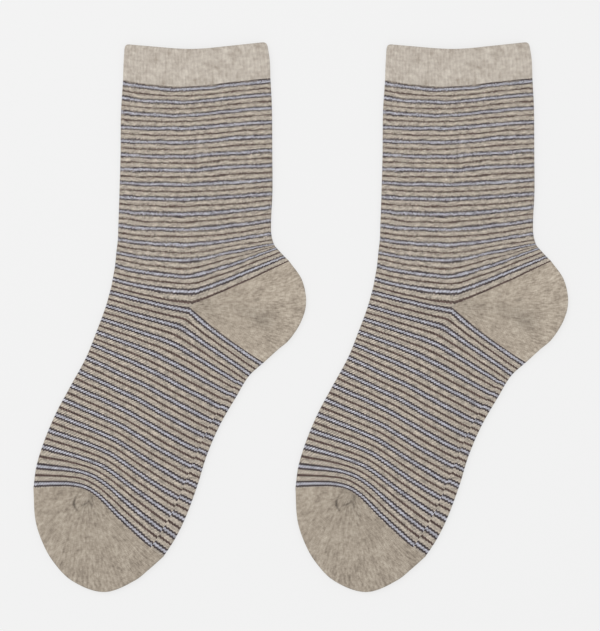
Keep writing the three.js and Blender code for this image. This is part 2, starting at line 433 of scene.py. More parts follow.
def top_relief(x: float, y: float) -> float:
    """Height of all creases and hollows of the upper layer at a place, in millimetres."""
    away = Vector((x, y)) - HEEL_HOLLOW
    dent = -HOLLOW_DEPTH * math.exp(-((away.length / HOLLOW_WIDTH) ** 2))
    rim = RIM_HEIGHT * math.exp(-(((away.length - RIM_RING) / RIM_WIDTH) ** 2))
    swell = sum(high * noise.noise(Vector((x / wide, y / wide, seed))) for high, wide, seed in SWELLS)
    return sum(crease.rise(x, y) for crease in TOP_CREASES) + dent + rim + swell + pucker(x, y)


def painted_fold_shade(x: float, y: float) -> float:
    """How deep a place lies inside the folds of the upper layer, as painted shade: 0 is open cloth, 1 the
    darkest fold; the dent in the heel gets painted shade too.
    """
    depth = sum(max(0.0, -crease.rise(x, y)) ** FOLD_POWER for crease in TOP_CREASES + TOE_MARKS)
    away = (Vector((x, y)) - HEEL_HOLLOW).length
    dent = PAINTED_HEEL_DARKNESS * math.exp(-((away / PAINTED_HEEL_SPREAD) ** 2))
    return min(1.0, PAINTED_FOLD_DARKNESS * depth + dent)


def painted_under_fold_shade(x: float, y: float) -> float:
    """Painted shade of the folds of the lower layer, which the table presses flat: that cloth keeps no
    relief, only darker colour.
    """
    return min(1.0, PAINTED_UNDER_DARKNESS * sum(crease.rise(x, y) for crease in UNDER_CREASES))


class Slope(NamedTuple):
    """A value that changes evenly with another: what it is where that one is 0, and what 1 more adds."""

    start: float
    adds: float


class Grain(NamedTuple):
    """One noise in the yarn: its cells per millimetre across and per step down, and how fine it is."""

    across: float
    down: float
    detail: float
    rough: float
    seed: float


class Station(NamedTuple):
    """A column of a knitted piece, by its place round the tube."""

    side: Side
    layer: Layer
    along: float


def quarter(flat_steps: int, fold_steps: int, gather: float = 1.0) -> list[float]:
    """Lists the stations from the middle of a layer to the outermost edge.

    Args:
        flat_steps: Steps across the layer.
        fold_steps: Steps round half of the fold.
        gather: More than 1 sets the steps closer together near the middle.

    Returns:
        The stations.
    """
    flat = [(i / flat_steps) ** gather for i in range(flat_steps)]
    return flat + [1 + i / fold_steps for i in range(fold_steps + 1)]


def round_tube(steps: Sequence[float]) -> list[Station]:
    """Lists the columns right round a tube, from the middle of the underside back to it."""
    back_in = steps[-2::-1]
    return (
        [Station(Side.FRONT, Layer.BOTTOM, step) for step in steps]
        + [Station(Side.FRONT, Layer.TOP, step) for step in back_in]
        + [Station(Side.BACK, Layer.TOP, step) for step in steps[1:]]
        + [Station(Side.BACK, Layer.BOTTOM, step) for step in back_in]
    )


def over_the_edge(steps: Sequence[float]) -> list[Station]:
    """Lists the columns of a ray: out over the top, round the edge and back underneath."""
    return [Station(Side.BACK, Layer.TOP, step) for step in steps] + [
        Station(Side.BACK, Layer.BOTTOM, step) for step in steps[-2::-1]
    ]


@dataclass
class KnitPiece:
    """A knitted blank: a flat slab of cloth that is bent over its lines into the flattened shape."""

    name: str
    node: str
    slot: Slot
    cloth: Cloth
    lines: Sequence[Line]
    columns: Sequence[Station]
    map_rows: Sequence[float]
    closed: bool
    flat: Point
    area: float | None = None
    holes: Callable[[float, float], bool] = lambda column, row: False
    depth_at: Callable[[int, int, float], float] = lambda column, row, depth: depth

    def blank(self) -> bmesh.types.BMesh:
        """Makes the slab: its top face is the outside of the cloth and its bottom face the inside."""
        mesh = bmesh.new()
        wide, high = len(self.columns) - 1, len(self.lines) - 1
        bmesh.ops.create_grid(mesh, x_segments=wide, y_segments=high, size=0.5)
        bmesh.ops.scale(mesh, vec=(wide, high, 1), verts=mesh.verts)
        bmesh.ops.translate(mesh, vec=(wide / 2, high / 2, 0), verts=mesh.verts)
        gone = [f for f in mesh.faces if self.holes(*f.calc_center_median().xy)]
        bmesh.ops.delete(mesh, geom=gone, context="FACES")
        bmesh.ops.solidify(mesh, geom=mesh.faces[:], thickness=1.0)
        if self.closed:
            ends = [f for f in mesh.faces if all(v.co.x in (0, wide) for v in f.verts)]
            bmesh.ops.delete(mesh, geom=ends, context="FACES_ONLY")
        return mesh

    def lay_map(self, mesh: bmesh.types.BMesh) -> None:
        """Writes where each corner is in the knitting: millimetres across and stripes down."""
        layer = mesh.loops.layers.uv.new(KNIT_MAP)
        for face in mesh.faces:
            for loop in face.loops:
                column, row = round(loop.vert.co.x), round(loop.vert.co.y)
                loop[layer].uv = (self.cloth_way(self.columns[column], self.lines[row]), self.map_rows[row])

    def cloth_way(self, station: Station, line: Line) -> float:
        """Way across the cloth to a station: round the tube as knitted, or out along a pocket's ray."""
        half = line.half(station.side)
        way = self.cloth.arc(half, station.along)
        full = self.cloth.arc(half, 2)
        if not self.closed:
            return way if station.layer is Layer.TOP else 2 * full - way
        share = way / full
        if station.side is Side.FRONT:
            return QUARTER_ROUND * (share if station.layer is Layer.BOTTOM else 2 - share)
        return QUARTER_ROUND * (2 + share if station.layer is Layer.TOP else 4 - share)

    def bend_to_shape(self, mesh: bmesh.types.BMesh) -> None:
        """Moves every point of the slab to its place on the flattened sock."""
        # Each point also keeps the painted shade of the folds it lies in, which the materials darken the
        # colour by.
        shade = mesh.verts.layers.float.new(PAINTED_SHADE_ATTRIBUTE)
        for vert in mesh.verts:
            column, row, deep = round(vert.co.x), round(vert.co.y), -vert.co.z * self.cloth.wall
            station = self.columns[column]
            depth = self.depth_at(column, row, deep)
            place = self.cloth.place(self.lines[row].half(station.side), station.layer, station.along, depth)
            share = max(0.0, 1 - max(0.0, station.along - CREASE_FADE_FROM) / CREASE_FADE_WAY)
            if station.layer is Layer.TOP:
                vert[shade] = share * painted_fold_shade(place.x, place.y)
                place.z += share * top_relief(place.x, place.y)
            # The lower layer stays flat; its creases are only painted shade.
            else:
                vert[shade] = share * painted_under_fold_shade(place.x, place.y)
            vert.co = place

    def build(self, shift: float) -> bpy.types.Object:
        """Makes the finished piece.

        Args:
            shift: How far to the right of the middle of the pair the sock lies.

        Returns:
            The piece, at the origin, with its place in its mesh.
        """
        mesh = self.blank()
        self.lay_map(mesh)
        self.bend_to_shape(mesh)
        bmesh.ops.remove_doubles(mesh, verts=mesh.verts, dist=WELD)
        bmesh.ops.translate(mesh, vec=(shift, 0, 0), verts=mesh.verts)
        bmesh.ops.scale(mesh, vec=(METRE, METRE, METRE), verts=mesh.verts)
        for face in mesh.faces:
            face.smooth = True
        for edge in mesh.edges:
            edge.smooth = edge.calc_face_angle(0.0) < SHARP_ANGLE
        data = bpy.data.meshes.new(self.name)
        mesh.to_mesh(data)
        mesh.free()
        return lay_out(self.name, data)

    def declare(self, piece: bpy.types.Object, material: bpy.types.Material) -> None:
        """Dresses the piece and tells the frame what it stands for."""
        piece.data.materials.append(material)
        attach(piece, "root")
        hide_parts(self.node)
        LOG.info("%s: %d faces, stands for %s", piece.name, len(piece.data.polygons), self.node)


class Board:
    """Lays out the nodes of one material."""

    def __init__(self, name: str) -> None:
        """Starts an empty material with its shader and output.

        Args:
            name: The material's name.
        """
        self.material = bpy.data.materials.new(name)
        self.material.use_nodes = True
        self.tree = self.material.node_tree
        self.tree.nodes.clear()
        self.output = self.tree.nodes.new("ShaderNodeOutputMaterial")
        self.shader = self.tree.nodes.new("ShaderNodeBsdfPrincipled")
        self.tree.links.new(self.shader.outputs["BSDF"], self.output.inputs["Surface"])

    def put(self, socket: Socket, value: object) -> None:
        """Links a socket to another socket, or sets it to a plain value."""
        if isinstance(value, Socket):
            self.tree.links.new(value, socket)
        else:
            socket.default_value = value

    def math(self, how: str, a: object, b: object = 0.0, c: object = 0.0) -> Socket:
        """Adds a sum, product or other number step.

        Args:
            how: The operation's name.
            a: First number or socket.
            b: Second number or socket.
            c: Third number or socket.

        Returns:
            The result's socket.
        """
        node = self.tree.nodes.new("ShaderNodeMath")
        node.operation = how
        for socket, value in zip(node.inputs, (a, b, c)):
            self.put(socket, value)
        return node.outputs[0]

    def knit_map(self) -> tuple[Socket, Socket]:
        """Reads the place in the knitting: millimetres across and stripes down."""
        place = self.tree.nodes.new("ShaderNodeUVMap")
        place.uv_map = KNIT_MAP
        parts = self.tree.nodes.new("ShaderNodeSeparateXYZ")
        self.tree.links.new(place.outputs["UV"], parts.inputs["Vector"])
        return parts.outputs["X"], parts.outputs["Y"]

    def lying_place(self) -> tuple[Socket, Socket]:
        """Reads the place as it lies on the table: millimetres to the right and towards the welt."""
        place = self.tree.nodes.new("ShaderNodeTexCoord")
        parts = self.tree.nodes.new("ShaderNodeSeparateXYZ")
        self.tree.links.new(place.outputs["Object"], parts.inputs["Vector"])
        return tuple(self.math("MULTIPLY", parts.outputs[axis], 1 / METRE) for axis in ("X", "Y"))

    def fold_shade(self, darkest: float) -> Socket:
        """Reads the painted shade of the folds from the mesh, as a factor for the colour: 1 on open cloth,
        down to the given share in the deepest folds.
        """
        painted_shade_node = self.tree.nodes.new("ShaderNodeAttribute")
        painted_shade_node.attribute_name = PAINTED_SHADE_ATTRIBUTE
        return self.math("MULTIPLY_ADD", painted_shade_node.outputs["Fac"], darkest - 1, 1.0)

    def between(self, value: Socket, low: float, high: float) -> Socket:
        """Turns a value into a share that runs from 0 at the low end to 1 at the high end."""
        node = self.tree.nodes.new("ShaderNodeMapRange")
        self.tree.links.new(value, node.inputs["Value"])
        node.inputs["From Min"].default_value = low
        node.inputs["From Max"].default_value = high
        return node.outputs["Result"]

    def blend(self, *parts: tuple[Socket, float]) -> Socket:
        """Adds up several noises, each with its weight."""
        total = self.math("MULTIPLY", *parts[0])
        for socket, weight in parts[1:]:
            total = self.math("MULTIPLY_ADD", socket, weight, total)
        return total

    def vector(self, x: object, y: object, z: object = 0.0) -> Socket:
        """Joins three numbers or sockets into a vector."""
        node = self.tree.nodes.new("ShaderNodeCombineXYZ")
        for socket, value in zip(node.inputs, (x, y, z)):
            self.put(socket, value)
        return node.outputs[0]

    def follow(self, value: Socket, slope: Slope) -> Socket:
        """Reads a value that changes evenly with another one."""
        return self.math("MULTIPLY_ADD", value, slope.adds, slope.start)

    def grain(self, across: object, down: object, grain: Grain) -> Socket:
        """Adds soft noise.

        Args:
            across: The place across, in millimetres.
            down: The place down, in courses, stripes or millimetres.
            grain: The noise's cells and fineness; its seed keeps it apart from the others.

        Returns:
            The noise's socket, about 0.5 on average.
        """
        node = self.tree.nodes.new("ShaderNodeTexNoise")
        node.inputs["Scale"].default_value = 1.0
        node.inputs["Detail"].default_value = grain.detail
        node.inputs["Roughness"].default_value = grain.rough
        x, y = self.math("MULTIPLY", across, grain.across), self.math("MULTIPLY", down, grain.down)
        self.tree.links.new(self.vector(x, y, grain.seed), node.inputs["Vector"])
        return node.outputs["Fac"]

    def ramp(self, factor: Socket, stops: Sequence[tuple[float, Colour]], how: str = "LINEAR"):
        """Adds a colour ramp.

        Args:
            factor: The place on the ramp.
            stops: Places and their colours.
            how: How it runs between the stops.

        Returns:
            The colour's socket.
        """
        node = self.tree.nodes.new("ShaderNodeValToRGB")
        node.color_ramp.interpolation = how
        elements = node.color_ramp.elements
        while len(elements) < len(stops):
            elements.new(0.5)
        for element, (place, colour) in zip(elements, stops):
            element.position = place
        for element, (place, colour) in zip(elements, stops):
            element.color = (*colour, 1.0)
        self.tree.links.new(factor, node.inputs["Fac"])
        return node.outputs["Color"]

    def tint(self, colour: Socket, shade: Socket) -> Socket:
        """Multiplies a colour by a number."""
        node = self.tree.nodes.new("ShaderNodeVectorMath")
        node.operation = "SCALE"
        self.tree.links.new(colour, node.inputs[0])
        self.tree.links.new(shade, node.inputs["Scale"])
        return node.outputs[0]

    def mix(self, factor: object, a: object, b: object) -> Socket:
        """Mixes two colours."""
        node = self.tree.nodes.new("ShaderNodeMix")
        node.data_type = "RGBA"
        for socket, value in ((node.inputs[0], factor), (node.inputs[6], a), (node.inputs[7], b)):
            self.put(socket, value)
        return node.outputs[2]

    def finish(self, colour: Socket, height: Socket, depth: float):
        """Sets the matt yarn's shader.

        Args:
            colour: The yarn's colour.
            height: The stitches' height, from 0 to 1.
            depth: That height in millimetres.

        Returns:
            The finished material.
        """
        bump = self.tree.nodes.new("ShaderNodeBump")
        bump.inputs["Strength"].default_value = 1.0
        bump.inputs["Distance"].default_value = depth * METRE
        self.tree.links.new(height, bump.inputs["Height"])
        self.tree.links.new(bump.outputs["Normal"], self.shader.inputs["Normal"])
        self.tree.links.new(colour, self.shader.inputs["Base Color"])
        self.shader.inputs["Roughness"].default_value = 0.94
        self.shader.inputs["Specular IOR Level"].default_value = 0.18
        self.shader.inputs["Sheen Weight"].default_value = 0.12
        self.shader.inputs["Sheen Roughness"].default_value = 0.6
        return self.material


def lay_out(name: str, data: bpy.types.ID) -> bpy.types.Object:
    """Makes an object of a mesh, lamp or camera and puts it into the scene."""
    thing = bpy.data.objects.new(name, data)
    bpy.context.scene.collection.objects.link(thing)
    return thing


def linear(red: int, green: int, blue: int) -> Colour:
    """Turns a colour as seen on a screen into the light that it stands for."""

    def one(value: int) -> float:
        """One channel."""
        share = value / 255
        return share / 12.92 if share <= 0.04045 else ((share + 0.055) / 1.055) ** 2.4

    return one(red), one(green), one(blue)


class Knitting(NamedTuple):
    """Where a point lies in the stitches, as sockets.

    "wale" counts the columns across and "course" the rows down. "fold" is 0 between two columns and
    0.5 in the middle of one, and "row" is the course with the slant of the stitch's two legs.
    """

    wale: Socket
    course: Socket
    fold: Socket
    row: Socket


def knit(board: Board, across: Socket, course: Socket, slant: object) -> Knitting:
    """Lays stitches over the cloth.

    Args:
        board: The material's board.
        across: Millimetres across.
        course: Courses down.
        slant: How many courses the legs of a stitch rise from its middle to its sides, doubled.

    Returns:
        The places in the stitches.
    """
    past_middle = board.math("MAXIMUM", board.math("SUBTRACT", across, 2 * QUARTER_ROUND), 0.0)
    spread = board.math("MULTIPLY_ADD", past_middle, BACK_CLOSER, across)
    wale = board.math("MULTIPLY", spread, 1 / WALE_WIDTH)
    fold = board.math("PINGPONG", wale, 0.5)
    row = board.math("MULTIPLY_ADD", board.math("SUBTRACT", fold, 0.25), slant, course)
    return Knitting(wale, course, fold, row)


def stitch_height(board: Board, stitch: Knitting) -> Socket:
    """Height of plain stitches, from 0 to 1: two slanted legs to a column and one row to a course."""
    leg = board.math("SINE", board.math("MULTIPLY", stitch.fold, 2 * math.pi))
    row = board.math("ABSOLUTE", board.math("SINE", board.math("MULTIPLY", stitch.row, math.pi)))
    return board.blend((leg, 0.5), (row, 0.5))


def painted_leg_light(board: Board, stitch: Knitting) -> Socket:
    """Slanted strokes of painted light and shade, from -1 to 1: one leg of each stitch catches more light.
    """
    turn = board.math("MULTIPLY_ADD", stitch.course, 0.5, stitch.wale)
    return board.math("SINE", board.math("MULTIPLY", turn, 2 * math.pi))


@dataclass(frozen=True)
class HeatherKnit:
    """Plain heather jersey of the heel and toe: darker and paler fibres lie along the courses."""

    base: Colour = linear(170, 158, 143)
    dark: Colour = linear(122, 111, 99)
    pale: Colour = linear(204, 194, 178)
    inner: Grain = Grain(0.27, 0.22, 2.0, 0.55, 1.0)
    outer: Grain = Grain(0.27, 0.62, 2.0, 0.55, 2.0)
    fan: Point = (14.0, 48.0)
    speck: Grain = Grain(0.52, 0.52, 2.0, 0.6, 3.0)
    smear: Grain = Grain(0.09, 0.16, 2.0, 0.5, 4.0)
    cloud: Grain = Grain(0.11, 0.11, 2.0, 0.5, 5.0)
    streak_share: float = 0.38
    speck_share: float = 0.26
    smear_share: float = 0.18
    cloud_share: float = 0.18
    slant: float = 1.2
    # Painted shade between the stitches: the colour darkens where the stitches lie low.
    painted_stitch_shade: Slope = Slope(0.90, 0.16)
    # The colour darkens a little towards the toe, by the place as laid.
    toe_darkening: Slope = Slope(1.03, 0.0008)
    # Share of the colour's brightness that the painted fold shade leaves in the deepest folds.
    fold_light: float = 0.52
    stitch_depth: float = 0.12

    def make(self) -> bpy.types.Material:
        """Makes the material."""
        board = Board("heather_knit")
        across, stripe = board.knit_map()
        x, y = board.lying_place()
        course = board.math("MULTIPLY", stripe, COURSES_PER_STRIPE)
        inner = board.grain(across, course, self.inner)
        outer = board.grain(across, course, self.outer)
        out = board.between(across, *self.fan)
        streak = board.math("MULTIPLY_ADD", board.math("SUBTRACT", outer, inner), out, inner)
        mottle = board.blend(
            (streak, self.streak_share),
            (board.grain(x, y, self.speck), self.speck_share),
            (board.grain(across, course, self.smear), self.smear_share),
            (board.grain(x, y, self.cloud), self.cloud_share),
        )
        colour = board.ramp(mottle, list(zip(HEATHER_STOPS, (self.dark, self.base, self.pale))))
        height = stitch_height(board, knit(board, across, course, self.slant))
        # Painted shade of the folds and between the stitches, times a colour that darkens towards the toe.
        shade = board.fold_shade(self.fold_light)
        for part in (board.follow(height, self.painted_stitch_shade), board.follow(y, self.toe_darkening)):
            shade = board.math("MULTIPLY", shade, part)
        return board.finish(board.tint(colour, shade), height, self.stitch_depth)


@dataclass(frozen=True)
class RibbedKnit:
    """Heather yarn of the turned welt, with fine upright ribs whose grooves get painted shade."""

    base: Colour = linear(186, 177, 166)
    dark: Colour = linear(160, 149, 137)
    pale: Colour = linear(208, 200, 188)
    streak: Grain = Grain(0.46, 0.30, 2.0, 0.6, 2.0)
    dash: Grain = Grain(0.20, 0.50, 2.0, 0.5, 6.0)
    cloud: Grain = Grain(0.10, 0.12, 2.0, 0.5, 5.0)
    streak_share: float = 0.42
    dash_share: float = 0.33
    cloud_share: float = 0.25
    ribs_per_quarter: float = 22.5
    painted_groove_shade: Slope = Slope(1.02, -0.08)
    rim: float = 0.12
    rim_shade: Slope = Slope(0.86, 0.14)
    slant: float = 1.2
    stitch_depth: float = 0.07

    def make(self) -> bpy.types.Material:
        """Makes the material."""
        board = Board("ribbed_knit")
        across, stripe = board.knit_map()
        course = board.math("MULTIPLY", stripe, COURSES_PER_STRIPE)
        mottle = board.blend(
            (board.grain(across, course, self.streak), self.streak_share),
            (board.grain(across, course, self.dash), self.dash_share),
            (board.grain(across, course, self.cloud), self.cloud_share),
        )
        colour = board.ramp(mottle, list(zip(HEATHER_STOPS, (self.dark, self.base, self.pale))))
        rib = board.math("MULTIPLY", across, self.ribs_per_quarter / QUARTER_ROUND)
        # Painted shade in the grooves between the ribs.
        groove = board.follow(board.math("PINGPONG", rib, 0.5), self.painted_groove_shade)
        top = board.follow(board.between(stripe, 0.0, self.rim), self.rim_shade)
        height = stitch_height(board, knit(board, across, course, self.slant))
        shade = board.math("MULTIPLY", groove, top)
        return board.finish(board.tint(colour, shade), height, self.stitch_depth)


class Yarn(NamedTuple):
    """A yarn of the stripes: its colour, how strongly its stitches stand out in strokes of painted light and
    shade, and how far it fades.
    """

    colour: Colour
    twist: float
    fade: float


@dataclass(frozen=True)
class StripedKnit:
    """Striped jersey of the leg and foot, charted in courses.

    One repeat is eight courses: a blue-grey stripe between two dark lines, then a beige band with a
    brown line in its middle. The stripes waver in the loose knitting of the leg, and in the foot they
    step up a little near the sole ("jog"), just past a place where they lag behind.
    """

    beige: Yarn = Yarn(linear(178, 168, 155), 0.24, 0.0)
    blue: Yarn = Yarn(linear(174, 174, 183), 0.32, 0.0)
    dark: Yarn = Yarn(linear(65, 57, 61), 0.42, 1.0)
    brown: Yarn = Yarn(linear(80, 62, 58), 0.52, 1.0)
    blue_courses: float = 1.06
    dark_courses: float = 0.98
    brown_courses: float = 1.08
    placing: Slope = Slope(-0.029, 1.0027)
    tightening: Point = (12.0, 15.5)
    wave: Grain = Grain(0.06, 0.9, 2.0, 0.5, 8.0)
    ripple: Grain = Grain(0.22, 3.0, 1.0, 0.5, 9.0)
    wave_share: float = 0.78
    ripple_share: float = 0.22
    sway: Slope = Slope(0.12, 0.18)
    jog_down: Point = (16.6, 27.0)
    jog_edge: Slope = Slope(134.4, -3.2)
    jog: Slope = Slope(0.045, 0.090)
    lag_across: Point = (104.0, 128.0)
    lag: float = -0.060
    slant: Slope = Slope(0.8, -0.55)
    hairs: Grain = Grain(1.3, 2.2, 1.0, 0.6, 11.0)
    fuzz: Slope = Slope(0.5, 2.2)
    bare: Grain = Grain(0.11, 0.55, 2.0, 0.5, 7.0)
    bare_range: Point = (0.46, 0.72)
    patches: Slope = Slope(0.06, 0.34)
    worn: Slope = Slope(0.04, 0.02)
    streak: Grain = Grain(0.30, 0.95, 3.0, 0.6, 3.0)
    mottle: Slope = Slope(-0.09, 2.2)
    sole_side: Point = (76.0, 112.0)
    front_clear: Slope = Slope(0.50, 0.75)
    heel_stripe: float = 14.7
    heel_reach: float = 3.5
    heel_clear: Slope = Slope(0.4, 0.6)
    patchy: Grain = Grain(0.16, 0.30, 1.0, 0.5, 6.0)
    patchy_range: Point = (0.34, 0.66)
    patch_clear: Slope = Slope(0.25, 1.15)
    leg_clear: Slope = Slope(1.0, -0.9)
    # Painted shade between the stitches: the colour darkens where the stitches lie low.
    painted_stitch_shade: Slope = Slope(0.86, 0.24)
    # The colour darkens a little with every stripe further down.
    stripe_darkening: Slope = Slope(0.952, -0.0020)
    # Share of the colour's brightness that the painted fold shade leaves in the deepest folds.
    fold_light: float = 0.55
    stitch_depth: float = 0.15

    def chart(self) -> list[tuple[float, Yarn]]:
        """Lists where each yarn starts in a repeat that begins halfway into the blue stripe."""
        beige = (COURSES_PER_STRIPE - self.blue_courses - 2 * self.dark_courses - self.brown_courses) / 2
        chart = []
        start = 0.0
        for courses, yarn in (
            (self.blue_courses / 2, self.blue),
            (self.dark_courses, self.dark),
            (beige, self.beige),
            (self.brown_courses, self.brown),
            (beige, self.beige),
            (self.dark_courses, self.dark),
            (self.blue_courses / 2, self.blue),
        ):
            chart.append((start / COURSES_PER_STRIPE, yarn))
            start += courses
        return chart

    def placed(self, board: Board, across: object, stripe: object, loose: object) -> Socket:
        """Shifts the stripes: they waver, most in the leg, and step up near the sole.

        Args:
            board: The material's board.
            across: Millimetres across.
            stripe: Stripes down, as laid out.
            loose: 1 in the loose knitting of the leg and 0 in the foot.

        Returns:
            Stripes down, as they lie.
        """
        waves = board.blend(
            (board.grain(across, stripe, self.wave), self.wave_share),
            (board.grain(across, stripe, self.ripple), self.ripple_share),
        )
        sway = board.math("SUBTRACT", waves, 0.5)
        laid = board.follow(stripe, self.placing)
        swayed = board.math("MULTIPLY_ADD", sway, board.follow(loose, self.sway), laid)
        down = board.between(stripe, *self.jog_down)
        past_edge = board.math("GREATER_THAN", across, board.follow(down, self.jog_edge))
        beyond = board.math("MULTIPLY", past_edge, board.math("GREATER_THAN", down, 0.0))
        step = board.math("MULTIPLY", beyond, board.follow(down, self.jog))
        before = board.math("MULTIPLY", board.between(across, *self.lag_across), down)
        lag = board.math("MULTIPLY", before, self.lag)
        return board.math("ADD", swayed, board.math("ADD", step, lag))

    def clearness(self, board: Board, across: object, stripe: object, course: object) -> Socket:
        """Tells how clearly the stitches stand out in their strokes of painted light and shade: most at the
        front, away from the heel and in patches.

        Args:
            board: The material's board.
            across: Millimetres across.
            stripe: Stripes down, as laid out.
            course: Courses down, as they lie.

        Returns:
            The strength, 1 on average.
        """
        front = board.math("SUBTRACT", 1.0, board.between(across, *self.sole_side))
        away = board.math("ABSOLUTE", board.math("SUBTRACT", stripe, self.heel_stripe))
        from_heel = board.follow(board.between(away, 0.0, self.heel_reach), self.heel_clear)
        clear = board.math("MULTIPLY", board.follow(front, self.front_clear), from_heel)
        patchy = board.between(board.grain(across, course, self.patchy), *self.patchy_range)
        return board.math("MULTIPLY", clear, board.follow(patchy, self.patch_clear))

    def make(self) -> bpy.types.Material:
        """Makes the material."""
        board = Board("striped_knit")
        across, stripe = board.knit_map()
        loose = board.math("SUBTRACT", 1.0, board.between(stripe, *self.tightening))
        course = board.math("MULTIPLY", self.placed(board, across, stripe, loose), COURSES_PER_STRIPE)
        stitch = knit(board, across, course, board.follow(loose, self.slant))
        hairs = board.math("SUBTRACT", board.grain(across, course, self.hairs), 0.5)
        row = board.math("ADD", stitch.row, board.math("MULTIPLY", hairs, board.follow(loose, self.fuzz)))
        place = board.math("FRACT", board.math("DIVIDE", row, COURSES_PER_STRIPE))
        chart = self.chart()
        yarn_colour = board.ramp(place, [(start, yarn.colour) for start, yarn in chart], "CONSTANT")
        trait_chart = [(start, (yarn.twist, yarn.fade, 0.0)) for start, yarn in chart]
        traits = board.ramp(place, trait_chart, "CONSTANT")
        twist, fade = self.split(board, traits)
        bare = board.between(board.grain(across, course, self.bare), *self.bare_range)
        patches = board.math("MULTIPLY", bare, board.follow(loose, self.patches))
        worn = board.math("ADD", patches, board.follow(loose, self.worn))
        colour = board.mix(board.math("MULTIPLY", worn, fade), yarn_colour, (*self.beige.colour, 1.0))
        clear = board.math("MULTIPLY", twist, self.clearness(board, across, stripe, course))
        strokes = board.math("MULTIPLY", clear, board.follow(loose, self.leg_clear))
        painted_strokes = board.math("MULTIPLY_ADD", painted_leg_light(board, stitch), strokes, 1.0)
        mottle = board.follow(board.grain(across, course, self.streak), self.mottle)
        height = stitch_height(board, stitch)
        # Painted shade of the folds, painted light and shade strokes on the stitch legs and painted shade
        # between the stitches, times the yarn's mottle and a colour that darkens further down the stripes.
        shade = board.fold_shade(self.fold_light)
        lit, darkened = board.follow(height, self.painted_stitch_shade), board.follow(stripe, self.stripe_darkening)
        for part in (mottle, painted_strokes, lit, darkened):
            shade = board.math("MULTIPLY", shade, part)
        return board.finish(board.tint(colour, shade), height, self.stitch_depth)

    def split(self, board: Board, traits: Socket) -> tuple[Socket, ...]:
        """Takes the strength of the yarn's painted light strokes and its fade out of their ramp."""
        parts = board.tree.nodes.new("ShaderNodeSeparateColor")
        board.tree.links.new(traits, parts.inputs["Color"])
        return parts.outputs[0], parts.outputs[1]


@dataclass
class Welt:
    """The turned and doubled welt: fine upright ribs outside and a rounded nose along its top."""

    ribs_per_half: float = 22.5
    steps_per_rib: int = 6
    rib_height: float = 0.28
    nose: float = 0.9
    corner: float = 2.8
    height: float = 21.8
    rows: int = 16
    first_drops: tuple[float, ...] = (0.0, 0.06, 0.2, 0.45)
    even_from: float = 1.5
    tuck: float = 0.44
    shallow: float = 0.35
    roundness: float = 1.5
    corner_share: float = 0.6

    def piece(self, side: str) -> KnitPiece:
        """Describes the welt of one sock."""
        total = int(self.ribs_per_half * self.steps_per_rib)
        fold = WELT_CLOTH.fold
        half = (WELT[0].back[0] - WELT[0].middle[0]) - fold + fold * math.pi / 2
        flat_share = 1 - fold * math.pi / 2 / half
        shares = [i / total for i in range(total + 1)]
        steps = [
            share / flat_share if share <= flat_share else 1 + (share - flat_share) / (1 - flat_share)
            for share in shares
        ]
        drops = [*self.first_drops, self.nose, self.even_from]
        even = self.height - self.even_from
        drops += [self.even_from + even * i / self.rows for i in range(1, self.rows + 1)]
        drops.reverse()
        lines = [self.line(drop) for drop in drops]
        columns = round_tube(steps)

        def depth_at(column: int, row: int, deep: float) -> float:
            """Rounds the nose along the top, and sinks the grooves where no table presses the ribs."""
            turn = max(0.0, 1 - drops[row] / self.nose)
            tuck = self.tuck * WELT_CLOTH.wall * (1 - math.sqrt(max(0.0, 1 - turn * turn)))
            if deep > 0.5:
                return WELT_CLOTH.wall - tuck
            if columns[column].layer is not Layer.TOP:
                return tuck
            share = (column % self.steps_per_rib) / self.steps_per_rib
            groove = (0.5 - 0.5 * math.cos(2 * math.pi * share)) ** self.roundness
            fade = min(1.0, drops[row] / self.nose)
            return tuck + self.rib_height * groove * (self.shallow + (1 - self.shallow) * fade)

        stripe = self.height / COURSE_HEIGHT / COURSES_PER_STRIPE
        return KnitPiece(
            name=f"{side}_ribbed_welt",
            node=f"{side}_cuff",
            slot=Slot.RIBBED,
            cloth=WELT_CLOTH,
            lines=lines,
            columns=columns,
            map_rows=[drop / self.height * stripe for drop in drops],
            closed=True,
            flat=(0.178, 0.0222),
            depth_at=depth_at,
        )

    def line(self, drop: float) -> Line:
        """Draws the course at a distance below the top edge."""
        turn = max(0.0, 1 - drop / self.corner)
        pinch = self.corner * self.corner_share * (1 - math.sqrt(max(0.0, 1 - turn * turn)))
        return course_line(WELT, drop / self.height, pinch=pinch)


@dataclass
class LegAndFoot:
    """The striped tube from the welt to the toe, open in its back half where the heel is set in."""

    rows_per_stripe: int = 8
    seam: float = 0.02

    def piece(self, side: str) -> KnitPiece:
        """Describes the striped tube of one sock."""
        first, heel_top, heel_end, last = LEG[0].at, LEG[-1].at, FOOT[0].at, FOOT[-1].at
        leg_count = round((heel_top - first) * self.rows_per_stripe)
        foot_count = round((last - heel_end) * self.rows_per_stripe)
        leg = [first + (heel_top - first) * i / leg_count for i in range(leg_count + 1)]
        foot = [heel_end + (last - heel_end) * i / foot_count for i in range(foot_count + 1)]
        lines = [course_line(LEG, at, self.seam if at == first else 0.0) for at in leg]
        lines += [course_line(FOOT, at, -self.seam if at == last else 0.0) for at in foot]
        steps = quarter(26, 6)
        top_middle, under_middle = 2 * (len(steps) - 1), 4 * (len(steps) - 1)
        lines.reverse()
        rows = (leg + foot)[::-1]
        heel_row = foot_count

        def holes(column: float, row: float) -> bool:
            """Tells whether a cell lies in the heel's opening."""
            return top_middle < column < under_middle and heel_row < row < heel_row + 1

        return KnitPiece(
            name=f"{side}_striped_tube",
            node=f"{side}_leg_and_foot",
            slot=Slot.STRIPED,
            cloth=PLAIN_CLOTH,
            lines=lines,
            columns=round_tube(steps),
            map_rows=rows,
            closed=True,
            flat=(0.184, 0.285),
            holes=holes,
        )


